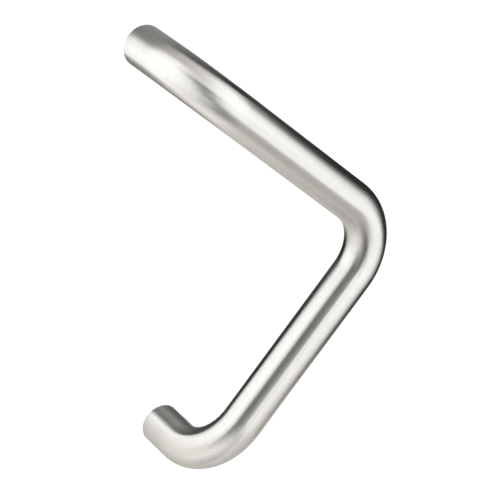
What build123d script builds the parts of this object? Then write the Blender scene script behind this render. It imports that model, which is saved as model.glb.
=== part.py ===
from build123d import *
import os
from math import radians, tan

# A pull handle bent from one length of round tube, fixed to a door by two bolts that
# come through the door into a threaded insert in each end of the tube.
# Millimetres. The door face is the plane Y = 0, and the handle stands out along -Y.
# Z runs up the door along the line of the fixings, and the V points along +X.

# Tube
tube_diameter = 30.0
wall_thickness = 1.5
bend_radius = 42.0  # of the tube's centreline, at all three bends
rim_chamfer = 0.4  # on the outer edge of each cut end
bore_chamfer = 0.2  # on the inner edge of each cut end

# Shape on the door
fixing_centres = 300.0
projection = 84.0  # door face to the outermost side of the tube
v_angle = 90.0  # between the two arms

# Threaded inserts
insert_length = 20.0  # less where the straight tube is too short for it
insert_end_gap = 2.0  # straight tube left between an insert and the bend
insert_clearance = 0.0  # a press fit, drawn line to line in the bore
insert_rim_chamfer = 0.3
insert_lead_chamfer = 1.0
thread_size = 8.0
thread_pitch = 1.25
thread_mouth_chamfer = 0.45

# Worked out from the sizes above
tube_radius = tube_diameter / 2
bore_radius = tube_radius - wall_thickness
insert_radius = bore_radius - insert_clearance
tap_drill_radius = (thread_size - 0.96 * thread_pitch) / 2
half_centres = fixing_centres / 2
arm_y = tube_radius - projection
stub_length = -arm_y - bend_radius  # straight tube between the door and the first bend
insert_depth = min(insert_length, stub_length - insert_end_gap)
apex_x = half_centres / tan(radians(v_angle / 2))

# Where the centreline's straight runs would meet if the bends were sharp
upper_end = Vector(0, 0, half_centres)
upper_corner = Vector(0, arm_y, half_centres)
apex = Vector(apex_x, arm_y, 0)
lower_corner = Vector(0, arm_y, -half_centres)
lower_end = Vector(0, 0, -half_centres)


def tube_section(centre, direction):
    """The tube's ring, square to the centreline at one point."""
    plane = Plane(origin=centre, z_dir=direction)
    return plane * (Circle(tube_radius) - Circle(bore_radius))


def bend_setback(before, corner, after):
    """How far before the sharp corner the bend starts, which is also how far past it the bend ends."""
    turn = (corner - before).get_angle(after - corner)
    return bend_radius * tan(radians(turn / 2))


def straight_run(start, end):
    """A straight length of tube between two points on the centreline."""
    along = end - start
    return extrude(tube_section(start, along), along.length, dir=along.normalized())


def bend(before, corner, after):
    """The tube turned round one corner, at the bend radius."""
    incoming = (corner - before).normalized()
    outgoing = (after - corner).normalized()
    start = corner - incoming * bend_setback(before, corner, after)
    turn = incoming.get_angle(outgoing)
    hinge = incoming.cross(outgoing).normalized()
    centre = start + hinge.cross(incoming) * bend_radius
    return revolve(tube_section(start, incoming), Axis(centre, hinge), turn)


def run_between(before, start, end, after):
    """The straight tube between two corners, less what their bends take up."""
    along = (end - start).normalized()
    first = start + along * bend_setback(before, start, end)
    last = end - along * bend_setback(start, end, after)
    return straight_run(first, last)


def stub(end, corner, after):
    """The straight tube from the door face to the start of the first bend."""
    along = (corner - end).normalized()
    return straight_run(end, corner - along * bend_setback(end, corner, after))


def bent_tube():
    """The whole tube, before its cut ends are finished."""
    upper_stub = stub(upper_end, upper_corner, apex)
    upper_bend = bend(upper_end, upper_corner, apex)
    upper_arm = run_between(upper_end, upper_corner, apex, lower_corner)
    apex_bend = bend(upper_corner, apex, lower_corner)
    lower_arm = run_between(upper_corner, apex, lower_corner, lower_end)
    lower_bend = bend(apex, lower_corner, lower_end)
    lower_stub = stub(lower_end, lower_corner, apex)
    return upper_stub + upper_bend + upper_arm + apex_bend + lower_arm + lower_bend + lower_stub


def end_rims(tube, radius):
    """The circles of one radius on the two cut ends, which lie on the door face."""
    circles = tube.edges().filter_by(GeomType.CIRCLE)
    return [c for c in circles if abs(c.center().Y) < 0.001 and abs(c.radius - radius) < 0.001]


def make_handle_tube():
    """One bent tube with its two cut ends deburred."""
    tube = bent_tube()
    tube = chamfer(end_rims(tube, tube_radius), rim_chamfer)
    return chamfer(end_rims(tube, bore_radius), bore_chamfer)


def insert_profile():
    """Half of the insert's section: X is the distance from its axis, Y the depth into the tube."""
    mouth_radius = tap_drill_radius + thread_mouth_chamfer
    points = [
        (mouth_radius, 0),
        (insert_radius - insert_rim_chamfer, 0),
        (insert_radius, insert_rim_chamfer),
        (insert_radius, insert_depth - insert_lead_chamfer),
        (insert_radius - insert_lead_chamfer, insert_depth),
        (mouth_radius, insert_depth),
        (tap_drill_radius, insert_depth - thread_mouth_chamfer),
        (tap_drill_radius, thread_mouth_chamfer),
    ]
    return make_face(Polyline(*points, close=True))


def make_insert(end):
    """A turned plug, bored and tapped right through, with its face level with the tube's end."""
    # The sketch's Y, which is the depth, is turned to run along -Y into the tube.
    section = Plane(origin=end, x_dir=(1, 0, 0), z_dir=(0, 0, -1)) * insert_profile()
    return revolve(section, Axis(end, (0, -1, 0)), 360)


def save(name, solid):
    """Write one piece to its own file."""
    solid.label = name
    export_step(solid, f"parts/{name}.step")


os.makedirs("parts", exist_ok=True)
save("handle_tube", make_handle_tube())
save("upper_insert", make_insert(upper_end))
save("lower_insert", make_insert(lower_end))
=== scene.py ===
import math

import bpy
from mathutils import Matrix, Vector


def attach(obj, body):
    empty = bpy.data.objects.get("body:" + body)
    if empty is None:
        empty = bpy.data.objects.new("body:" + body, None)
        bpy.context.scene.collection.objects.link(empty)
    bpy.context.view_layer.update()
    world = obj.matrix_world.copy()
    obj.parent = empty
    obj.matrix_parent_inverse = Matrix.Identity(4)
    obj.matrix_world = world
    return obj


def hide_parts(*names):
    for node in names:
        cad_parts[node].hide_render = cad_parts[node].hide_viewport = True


# A V-shaped pull handle bent from satin stainless tube, with a tapped insert in each cut end.
# Metres. The door face is the plane Y = 0, the handle stands out along -Y, and Z is up.

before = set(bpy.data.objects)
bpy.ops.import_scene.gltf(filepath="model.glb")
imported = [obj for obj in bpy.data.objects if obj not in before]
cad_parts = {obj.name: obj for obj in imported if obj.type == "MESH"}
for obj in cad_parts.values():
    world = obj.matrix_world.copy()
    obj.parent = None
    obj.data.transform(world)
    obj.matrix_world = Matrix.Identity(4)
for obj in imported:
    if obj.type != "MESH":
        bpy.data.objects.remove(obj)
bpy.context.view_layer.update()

MM = 0.001

# ---- the handle's sizes ----
TUBE_RADIUS = 15 * MM
BORE_RADIUS = 13.5 * MM
BEND_RADIUS = 42 * MM
HALF_CENTRES = 150 * MM
ARM_Y = -69 * MM
RIM_ROUND = 0.4 * MM
BORE_ROUND = 0.2 * MM

INSERT_RADIUS = 13.49 * MM
INSERT_LENGTH = 20 * MM
INSERT_RIM_ROUND = 0.3 * MM
INSERT_LEAD = 1.0 * MM
THREAD_PITCH = 1.25 * MM
THREAD_ANGLE = 60
THREAD_INNER_RADIUS = 3.4 * MM
THREAD_OUTER_RADIUS = 4.0 * MM
THREAD_MOUTH_RADIUS = 3.85 * MM

# ---- how finely the meshes are drawn ----
TUBE_SIDES = 144
BEND_STEPS = 48
STRAIGHT_STEP = 6 * MM
ROUND_STEPS = 6
INSERT_SIDES = 96
INSERT_FACE_RINGS = 8
ROWS_A_PITCH = 14


def direction(azimuth, elevation):
    """A unit vector: azimuth 0 is towards -Y and 90 towards +X, elevation 90 is up."""
    a, e = math.radians(azimuth), math.radians(elevation)
    return Vector((math.sin(a) * math.cos(e), -math.cos(a) * math.cos(e), math.sin(e)))


def rolled(right, up, degrees):
    """A pair of axes turned in their own plane, from right towards up."""
    a = math.radians(degrees)
    return right * math.cos(a) + up * math.sin(a), up * math.cos(a) - right * math.sin(a)


def add_object(name, mesh):
    obj = bpy.data.objects.new(name, mesh)
    bpy.context.scene.collection.objects.link(obj)
    return obj


# ---- meshes made of rings ----


def ring_mesh(name, rings, sides):
    """A mesh skinned over rings, with the last ring joined to the first.

    Each ring is (points, unbent points, distance along the profile). The unbent points say
    where the ring would be if the tube were straight, and the materials read them.
    """
    verts = [p for points, _, _ in rings for p in points]
    count = len(rings)
    faces, corners = [], []
    for i in range(count):
        j = (i + 1) % count
        u0 = rings[i][2]
        u1 = rings[j][2] if j else rings[i][2] + (rings[j][0][0] - rings[i][0][0]).length
        for k in range(sides):
            m = (k + 1) % sides
            faces.append((i * sides + k, j * sides + k, j * sides + m, i * sides + m))
            v0, v1 = k / sides, (k + 1) / sides
            corners += [(u0, v0), (u1, v0), (u1, v1), (u0, v1)]
    mesh = bpy.data.meshes.new(name)
    mesh.from_pydata(verts, [], faces)
    around = 2 * math.pi * TUBE_RADIUS
    layer = mesh.uv_layers.new(name="profile")
    layer.data.foreach_set("uv", [c for u, v in corners for c in (u, v * around)])
    unbent = mesh.attributes.new("unbent", "FLOAT_VECTOR", "POINT")
    unbent.data.foreach_set("vector", [c for _, flat, _ in rings for p in flat for c in p])
    mesh.polygons.foreach_set("use_smooth", [True] * len(faces))
    mesh.update()
    return add_object(name, mesh)


def quarter_round(centre_s, centre_r, radius, start, stop):
    """Points (s, r) on a quarter circle in a profile, from one angle to another, in degrees."""
    points = []
    for i in range(ROUND_STEPS + 1):
        a = math.radians(start + (stop - start) * i / ROUND_STEPS)
        points.append((centre_s + radius * math.cos(a), centre_r + radius * math.sin(a)))
    return points


# ---- the bent tube ----


class Centreline:
    """The tube's centreline, walked from the upper cut end to the lower one."""

    def __init__(self, start, along, side):
        self.stations = [(0.0, start, along, side)]

    def forward(self, length):
        steps = max(1, round(length / STRAIGHT_STEP))
        for _ in range(steps):
            s, centre, along, side = self.stations[-1]
            step = length / steps
            self.stations.append((s + step, centre + along * step, along, side))

    def bend_to(self, new_along, radius):
        s, start, along, side = self.stations[-1]
        hinge = along.cross(new_along).normalized()
        turn = along.angle(new_along)
        pivot = start + hinge.cross(along) * radius
        for i in range(1, BEND_STEPS + 1):
            rotation = Matrix.Rotation(turn * i / BEND_STEPS, 3, hinge)
            centre = pivot + rotation @ (start - pivot)
            distance = s + radius * turn * i / BEND_STEPS
            self.stations.append((distance, centre, rotation @ along, rotation @ side))

    def length(self):
        return self.stations[-1][0]

    def ring(self, s, radius, station, sides):
        """Points round the centreline at s, near a station, and where they lie unbent."""
        at, centre, along, side = station
        centre = centre + along * (s - at)
        other = along.cross(side)
        points, flat = [], []
        for k in range(sides):
            a = 2 * math.pi * k / sides
            points.append(centre + (side * math.cos(a) + other * math.sin(a)) * radius)
            flat.append(Vector((s, math.cos(a) * radius, math.sin(a) * radius)))
        return points, flat


def handle_centreline():
    """Stub, bend, arm, bend at the point of the V, arm, bend, stub."""
    out_from_door = Vector((0, -1, 0))
    down_upper_arm = Vector((1, 0, -1)).normalized()
    down_lower_arm = Vector((-1, 0, -1)).normalized()
    stub = -ARM_Y - BEND_RADIUS
    arm = HALF_CENTRES * math.sqrt(2) - 2 * BEND_RADIUS
    line = Centreline(Vector((0, 0, HALF_CENTRES)), out_from_door, Vector((1, 0, 0)))
    line.forward(stub)
    line.bend_to(down_upper_arm, BEND_RADIUS)
    line.forward(arm)
    line.bend_to(down_lower_arm, BEND_RADIUS)
    line.forward(arm)
    line.bend_to(-out_from_door, BEND_RADIUS)
    line.forward(stub)
    return line


def make_tube():
    """One hollow tube, with its outer and inner edges rounded at both cut ends."""
    line = handle_centreline()
    first, last, length = line.stations[0], line.stations[-1], line.length()
    inside = [t for t in line.stations if RIM_ROUND < t[0] < length - RIM_ROUND]
    rim, bore = TUBE_RADIUS - RIM_ROUND, BORE_RADIUS + BORE_ROUND
    profile = []

    def add(points, station):
        profile.extend((s, r, station) for s, r in points)

    add(quarter_round(RIM_ROUND, rim, RIM_ROUND, 180, 90), first)
    profile += [(t[0], TUBE_RADIUS, t) for t in inside]
    add(quarter_round(length - RIM_ROUND, rim, RIM_ROUND, 90, 0), last)
    add(quarter_round(length - BORE_ROUND, bore, BORE_ROUND, 0, -90), last)
    profile += [(t[0], BORE_RADIUS, t) for t in reversed(inside)]
    add(quarter_round(BORE_ROUND, bore, BORE_ROUND, 270, 180), first)
    return skin(profile, line, "satin_tube")


def skin(profile, line, name):
    """Turns (s, r, station) into rings, with the distance walked along the profile."""
    rings, walked, before = [], 0.0, profile[0]
    for point in profile:
        walked += math.hypot(point[0] - before[0], point[1] - before[1])
        before = point
        points, flat = line.ring(*point, TUBE_SIDES)
        rings.append((points, flat, walked))
    return ring_mesh(name, rings, TUBE_SIDES)


# ---- the tapped inserts ----


def thread_radius(depth, turn):
    """The tapped hole's radius: a V thread that runs out into a chamfer at each mouth."""
    phase = (depth / THREAD_PITCH - turn) % 1.0
    height = THREAD_OUTER_RADIUS - THREAD_INNER_RADIUS
    root_flat = THREAD_PITCH / 8
    from_root = abs(phase - 0.5) * THREAD_PITCH
    slope = math.tan(math.radians(THREAD_ANGLE))
    cut = min(height, max(0.0, height - (from_root - root_flat / 2) * slope))
    from_mouth = min(depth, INSERT_LENGTH - depth)
    chamfer = THREAD_MOUTH_RADIUS - from_mouth
    limit = THREAD_MOUTH_RADIUS + from_mouth
    return max(min(THREAD_INNER_RADIUS + cut, limit), chamfer)


def insert_profile():
    """The turned outside and the two faces, as (depth, radius), from the hole's outer mouth."""
    points = [(0.0, THREAD_MOUTH_RADIUS)]
    reach = INSERT_RADIUS - INSERT_RIM_ROUND
    for i in range(1, INSERT_FACE_RINGS):
        out = (reach - THREAD_MOUTH_RADIUS) * i / INSERT_FACE_RINGS
        points.append((0.0, THREAD_MOUTH_RADIUS + out))
    points += quarter_round(INSERT_RIM_ROUND, reach, INSERT_RIM_ROUND, 180, 90)
    points.append((INSERT_LENGTH - INSERT_LEAD, INSERT_RADIUS))
    points.append((INSERT_LENGTH, INSERT_RADIUS - INSERT_LEAD))
    points.append((INSERT_LENGTH, THREAD_MOUTH_RADIUS))
    return points


def make_insert(name, height):
    """A turned plug at one height up the door, with a real helical thread through it."""
    rings, walked, before = [], 0.0, (0.0, THREAD_MOUTH_RADIUS)

    def add(depth, radii):
        points, flat = [], []
        for k in range(INSERT_SIDES):
            a = 2 * math.pi * k / INSERT_SIDES
            x, z = math.cos(a) * radii[k], math.sin(a) * radii[k]
            points.append(Vector((x, -depth, height + z)))
            flat.append(Vector((depth, x, z)))
        rings.append((points, flat, walked))

    for depth, radius in insert_profile():
        walked += math.hypot(depth - before[0], radius - before[1])
        before = (depth, radius)
        add(depth, [radius] * INSERT_SIDES)
    rows = round(INSERT_LENGTH / THREAD_PITCH * ROWS_A_PITCH)
    for i in range(1, rows):
        depth = INSERT_LENGTH * (1 - i / rows)
        walked += INSERT_LENGTH / rows
        turns = [k / INSERT_SIDES for k in range(INSERT_SIDES)]
        add(depth, [thread_radius(depth, t) for t in turns])
    return ring_mesh(name, rings, INSERT_SIDES)


# ---- node helpers ----

# Where a Mix node keeps its two colours, and the colour that it gives.
MIX_FIRST, MIX_SECOND, MIX_RESULT = 6, 7, 2


class Nodes:
    """A material or world node tree, with one call for each node."""

    def __init__(self, owner):
        owner.use_nodes = True
        self.tree = owner.node_tree
        self.tree.nodes.clear()

    def add(self, kind, settings=None, **inputs):
        node = self.tree.nodes.new(kind)
        for key, value in (settings or {}).items():
            setattr(node, key, value)
        for key, value in inputs.items():
            self.set(node, key.replace("_", " "), value)
        return node

    def set(self, node, key, value):
        socket = node.inputs[int(key)] if key.isdigit() else node.inputs[key]
        if isinstance(value, bpy.types.NodeSocket):
            self.tree.links.new(value, socket)
        else:
            socket.default_value = value

    def math(self, operation, a, b=0.0):
        node = self.add("ShaderNodeMath", {"operation": operation})
        self.set(node, "0", a)
        self.set(node, "1", b)
        return node.outputs[0]

    def remap(self, value, low, high, new_low, new_high, smooth=False):
        settings = {"interpolation_type": "SMOOTHSTEP"} if smooth else {}
        node = self.add("ShaderNodeMapRange", settings)
        for key, number in zip("01234", (value, low, high, new_low, new_high)):
            self.set(node, key, number)
        return node.outputs[0]

    def colours(self, factor, first, second):
        node = self.add("ShaderNodeMix", {"data_type": "RGBA"}, Factor=factor)
        node.inputs[MIX_FIRST].default_value = first
        node.inputs[MIX_SECOND].default_value = second
        return node.outputs[MIX_RESULT]

    def unbent(self):
        """Where a point would be if the tube were straight, with X along it."""
        return self.add("ShaderNodeAttribute", {"attribute_name": "unbent"}).outputs["Vector"]

    def output(self, shader, kind="ShaderNodeOutputMaterial"):
        self.add(kind, Surface=shader)


def unbent_noise(n, along, around, detail=2.0, offset=0.0, tilt=0.0):
    """Noise in the straightened tube's own space, with features of these sizes, in metres.

    tilt leans the pattern, in degrees, so that its lines cross the tube at a slant.
    """
    mapping = n.add("ShaderNodeMapping", {"vector_type": "TEXTURE"}, Vector=n.unbent())
    mapping.inputs["Location"].default_value = (offset, offset, offset)
    mapping.inputs["Rotation"].default_value = (0, 0, math.radians(tilt))
    mapping.inputs["Scale"].default_value = (along, around, around)
    noise = n.add("ShaderNodeTexNoise", Vector=mapping.outputs[0], Scale=1.0, Detail=detail)
    return noise.outputs["Fac"]


def blend(n, *layers):
    """Adds up (noise, weight) layers, each measured from its middle, round a half."""
    total = 0.5
    for noise, weight in layers:
        off_middle = n.math("MULTIPLY", n.math("SUBTRACT", noise, 0.5), weight)
        total = n.math("ADD", off_middle, total)
    return total


# ---- materials of the handle ----

# How much of its mirroring the steel keeps near grazing angles.
EDGE_TINT = (0.78, 0.78, 0.78, 1)
RELIEF_DEPTH = 0.01 * MM

SATIN_DARK = (0.556, 0.549, 0.527, 1)
SATIN_PALE = (0.681, 0.677, 0.658, 1)
# Any smoother than 0.28, and dark dashes show where the tube is in shade.
SATIN_ROUGHNESS = (0.28, 0.32)
SATIN_STRETCH = 0.917

TURNED_DARK = (0.53, 0.525, 0.51, 1)
TURNED_PALE = (0.585, 0.58, 0.57, 1)
TURNED_ROUGHNESS = (0.285, 0.36)
TURNED_STRETCH = 0.6
TURNED_RELIEF = 0.5
TOOL_FEED = 0.32 * MM

# Nearly all of a noise's values lie between these.
NOISE_LOW, NOISE_HIGH = 0.3, 0.7


def brushed_metal(n, colour, roughness, relief, strength, stretch):
    """Bare metal whose fine lines stretch its highlights along the mesh's profile."""
    bump = n.add("ShaderNodeBump", Strength=strength, Distance=RELIEF_DEPTH, Height=relief)
    tangent = n.add("ShaderNodeTangent", {"direction_type": "UV_MAP", "uv_map": "profile"})
    shader = n.add(
        "ShaderNodeBsdfPrincipled",
        Base_Color=colour,
        Specular_Tint=EDGE_TINT,
        Metallic=1.0,
        Roughness=roughness,
        Anisotropic=stretch,
        Tangent=tangent.outputs[0],
        Normal=bump.outputs[0],
    )
    n.output(shader.outputs[0])


def satin_stainless():
    """Belt-finished tube: fine slanting lines round it, which smear reflections along it."""
    mat = bpy.data.materials.new("satin_stainless")
    n = Nodes(mat)
    grain = unbent_noise(n, 0.14 * MM, 7 * MM, detail=3.0, tilt=7)
    scratches = unbent_noise(n, 0.45 * MM, 16 * MM, detail=3.0, offset=0.3, tilt=-13)
    belt = unbent_noise(n, 1.7 * MM, 22 * MM, offset=0.7, tilt=16)
    drawn = unbent_noise(n, 130 * MM, 1.9 * MM, offset=1.1)
    cloud = unbent_noise(n, 26 * MM, 22 * MM, offset=1.7)
    speckle = unbent_noise(n, 0.8 * MM, 1.8 * MM, detail=3.0, offset=2.3, tilt=25)

    lines = [(grain, 0.9), (scratches, 0.7), (belt, 0.4), (drawn, 0.6)]
    shade = blend(n, *lines, (cloud, 0.3), (speckle, 1.1))
    uneven = blend(n, (belt, 0.7), (cloud, 0.9), (drawn, 0.6), (grain, 0.8))
    brushed_metal(
        n,
        colour=n.colours(shade, SATIN_DARK, SATIN_PALE),
        roughness=n.remap(uneven, 0, 1, *SATIN_ROUGHNESS),
        relief=blend(n, (grain, 0.35), (scratches, 0.6), (drawn, 4.0), (speckle, 3.0)),
        strength=1.0,
        stretch=SATIN_STRETCH,
    )
    return mat


def turned_steel():
    """Bright turned steel with the tool's fine facing rings."""
    mat = bpy.data.materials.new("turned_steel")
    n = Nodes(mat)
    depth, x, z = n.add("ShaderNodeSeparateXYZ", Vector=n.unbent()).outputs
    squares = n.math("ADD", n.math("MULTIPLY", x, x), n.math("MULTIPLY", z, z))
    walked = n.math("ADD", n.math("SQRT", squares), depth)
    tool_marks = n.math("SINE", n.math("MULTIPLY", walked, 2 * math.pi / TOOL_FEED))
    cloud = unbent_noise(n, 5 * MM, 5 * MM, detail=3.0)
    shade = n.remap(cloud, NOISE_LOW, NOISE_HIGH, 0, 1)
    brushed_metal(
        n,
        colour=n.colours(shade, TURNED_DARK, TURNED_PALE),
        roughness=n.remap(cloud, NOISE_LOW, NOISE_HIGH, *TURNED_ROUGHNESS),
        relief=tool_marks,
        strength=TURNED_RELIEF,
        stretch=TURNED_STRETCH,
    )
    return mat


def place_piece(obj, node, material):
    obj.data.materials.append(material)
    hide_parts(node)
    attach(obj, "root")


# ---- the studio ----

STUDIO_CENTRE = Vector((0.06, -0.12, 0))
CARD_COLUMNS = 48
CARD_ROWS = 32
TALLEST_HALF_CARD = 89

WHITE = (1, 1, 1)
WARM_WHITE = (1.0, 0.970, 0.944)
WARM_GREY = (1.0, 0.955, 0.905)
BROWN_BLACK = (1.0, 0.985, 0.935)
FLAG_BLACK = 0.01

FLOOR_Z = -3.05
FLOOR_HALF = 40.0
FLOOR_PAINT = (0.8, 0.8, 0.79, 1)
FLOOR_GLOW = 0.25


def seen_directly(n):
    """1 for what the camera, metal and glass see, 0 for the rays that light the object."""
    path = n.add("ShaderNodeLightPath").outputs
    either = n.math("MAXIMUM", path["Is Camera Ray"], path["Is Glossy Ray"])
    return n.math("MAXIMUM", either, path["Is Transmission Ray"])


def grid_faces(columns, rows):
    """The squares of a grid whose points are listed row by row."""
    faces = []
    for j in range(rows):
        for i in range(columns):
            a = j * (columns + 1) + i
            b = a + columns + 1
            faces.append((a, a + 1, b + 1, b))
    return faces


def card(name, distance, towards, size, roll, soft, radiance, colour=WHITE):
    """A curved card round the handle, lit or black, which only reflections see.

    distance is from the studio's centre. towards is its middle's azimuth and elevation, size its
    width and height, and soft how far its edges fade out, all in degrees.
    """
    middle = direction(*towards)
    right = direction(towards[0] + 90, 0)
    right, up = rolled(right, middle.cross(right), roll)
    half_width = size[0] / 2 + soft
    half_height = min(size[1] / 2 + soft, TALLEST_HALF_CARD)
    verts, places = [], []
    for j in range(CARD_ROWS + 1):
        for i in range(CARD_COLUMNS + 1):
            across = half_width * (2 * i / CARD_COLUMNS - 1)
            along = half_height * (2 * j / CARD_ROWS - 1)
            a, e = math.radians(across), math.radians(along)
            flat = middle * math.cos(a) + right * math.sin(a)
            verts.append(STUDIO_CENTRE + (flat * math.cos(e) + up * math.sin(e)) * distance)
            places.append((across, along))
    faces = grid_faces(CARD_COLUMNS, CARD_ROWS)
    mesh = bpy.data.meshes.new(name)
    mesh.from_pydata(verts, [], faces)
    degrees = mesh.uv_layers.new(name="degrees")
    degrees.data.foreach_set("uv", [c for f in faces for v in f for c in places[v]])
    obj = add_object(name, mesh)
    obj.data.materials.append(card_material(name, size, soft, radiance, colour))
    obj.visible_camera = False
    obj.visible_shadow = False
    obj.visible_diffuse = False


def card_material(name, size, soft, radiance, colour):
    """Light of one strength, clear beyond the card's edges."""
    mat = bpy.data.materials.new(name)
    n = Nodes(mat)
    place = n.add("ShaderNodeUVMap", {"uv_map": "degrees"}).outputs[0]
    parts = n.add("ShaderNodeSeparateXYZ", Vector=place).outputs
    cover = 1.0
    for value, length in zip(parts, size):
        inside = n.math("SUBTRACT", length / 2, n.math("ABSOLUTE", value))
        cover = n.math("MULTIPLY", n.remap(inside, -soft, soft, 0, 1, smooth=True), cover)
    glow = n.add("ShaderNodeEmission", Color=(*colour, 1), Strength=radiance)
    clear = n.add("ShaderNodeBsdfTransparent")
    mix = n.add("ShaderNodeMixShader")
    n.set(mix, "0", cover)
    n.set(mix, "1", clear.outputs[0])
    n.set(mix, "2", glow.outputs[0])
    n.output(mix.outputs[0])
    return mat


def add_cards():
    """Soft boxes, strip lights, greys between them, and black flags for the tube's dark lines.

    The farthest comes first, because a near card hides the ones behind it.
    """
    card(
        "softbox_right", 3.00, towards=(70, -15), size=(173, 87), roll=-40,
        soft=3, radiance=1.80,
    )
    card(
        "warm_grey_surround", 2.20, towards=(-131, -19.5), size=(282, 89), roll=-94,
        soft=9, radiance=0.775, colour=WARM_GREY,
    )
    card(
        "camera_side_flag", 1.40, towards=(-65, 30.5), size=(49.5, 97.5), roll=82.5,
        soft=2, radiance=FLAG_BLACK,
    )
    card(
        "low_flag", 0.85, towards=(-42.5, -40), size=(33, 72), roll=-38.5,
        soft=2, radiance=FLAG_BLACK,
    )
    card(
        "far_right_flag", 0.66, towards=(83.5, -20), size=(37.5, 68.5), roll=-17,
        soft=3, radiance=FLAG_BLACK,
    )
    card(
        "strip_light_low_right", 0.65, towards=(47, -30.5), size=(80.5, 16), roll=-5,
        soft=2.5, radiance=1.70,
    )
    card(
        "back_flag", 0.64, towards=(161.5, 16.5), size=(105, 84.5), roll=-11.5,
        soft=4, radiance=FLAG_BLACK, colour=BROWN_BLACK,
    )
    card(
        "grey_edge_card", 0.63, towards=(160, 20.5), size=(42.5, 30), roll=54,
        soft=22.5, radiance=0.58,
    )
    card(
        "softbox_left", 0.48, towards=(-117.5, 28), size=(60.5, 87), roll=-33.5,
        soft=5, radiance=1.79,
    )
    card(
        "front_grey_card", 0.43, towards=(-42, -5.5), size=(37, 17.5), roll=25,
        soft=2, radiance=0.32,
    )
    card(
        "strip_light_left", 0.33, towards=(-87, 10), size=(73, 18), roll=65,
        soft=2, radiance=1.33,
    )
    card(
        "softbox_low_left", 0.255, towards=(-95.5, -41), size=(79.5, 42), roll=-29,
        soft=25, radiance=1.41, colour=WARM_WHITE,
    )
    card(
        "right_flag", 0.224, towards=(110, 0.5), size=(42, 109.5), roll=3.5,
        soft=12, radiance=0.0,
    )


def add_floor():
    """A pale floor that keeps the handle's shadow, bright enough to read as a white sweep."""
    half = FLOOR_HALF
    corners = [(-half, -half), (half, -half), (half, half), (-half, half)]
    mesh = bpy.data.meshes.new("floor")
    mesh.from_pydata([(x, y, FLOOR_Z) for x, y in corners], [], [(0, 1, 2, 3)])
    obj = add_object("floor", mesh)
    mat = bpy.data.materials.new("pale_floor")
    n = Nodes(mat)
    paint = n.add("ShaderNodeBsdfDiffuse", Color=FLOOR_PAINT)
    strength = n.math("MULTIPLY", seen_directly(n), FLOOR_GLOW)
    glow = n.add("ShaderNodeEmission", Strength=strength)
    both = n.add("ShaderNodeAddShader")
    n.set(both, "0", paint.outputs[0])
    n.set(both, "1", glow.outputs[0])
    n.output(both.outputs[0])
    obj.data.materials.append(mat)


def add_world():
    """Plain white light from all round, at which a colour renders about as it is written."""
    world = bpy.data.worlds.new("studio_air")
    bpy.context.scene.world = world
    n = Nodes(world)
    air = n.add("ShaderNodeBackground", Color=(1, 1, 1, 1), Strength=1.0)
    n.output(air.outputs[0], "ShaderNodeOutputWorld")


# ---- the camera ----

CAMERA_PLACE = Vector((-0.63784, -1.22510, 0.75407))
CAMERA_AZIMUTH = -30.3293
CAMERA_ELEVATION = 28.8891
CAMERA_ROLL = -1.25
CAMERA_LENS = 162.06
CAMERA_SENSOR = 36.0


def add_camera():
    back = direction(CAMERA_AZIMUTH, CAMERA_ELEVATION)
    right = (-back).cross(Vector((0, 0, 1))).normalized()
    right, up = rolled(right, right.cross(-back), CAMERA_ROLL)
    data = bpy.data.cameras.new("camera")
    data.lens, data.sensor_width = CAMERA_LENS, CAMERA_SENSOR
    camera = add_object("camera", data)
    turn = Matrix((right, up, back)).transposed()
    camera.matrix_world = Matrix.Translation(CAMERA_PLACE) @ turn.to_4x4()
    bpy.context.scene.camera = camera


steel = turned_steel()
place_piece(make_tube(), "handle_tube", satin_stainless())
for name, node, height in (
    ("tapped_insert_upper", "upper_insert", HALF_CENTRES),
    ("tapped_insert_lower", "lower_insert", -HALF_CENTRES),
):
    place_piece(make_insert(name, height), node, steel)
add_cards()
add_floor()
add_world()
add_camera()
bpy.context.scene.view_settings.view_transform = "Standard"
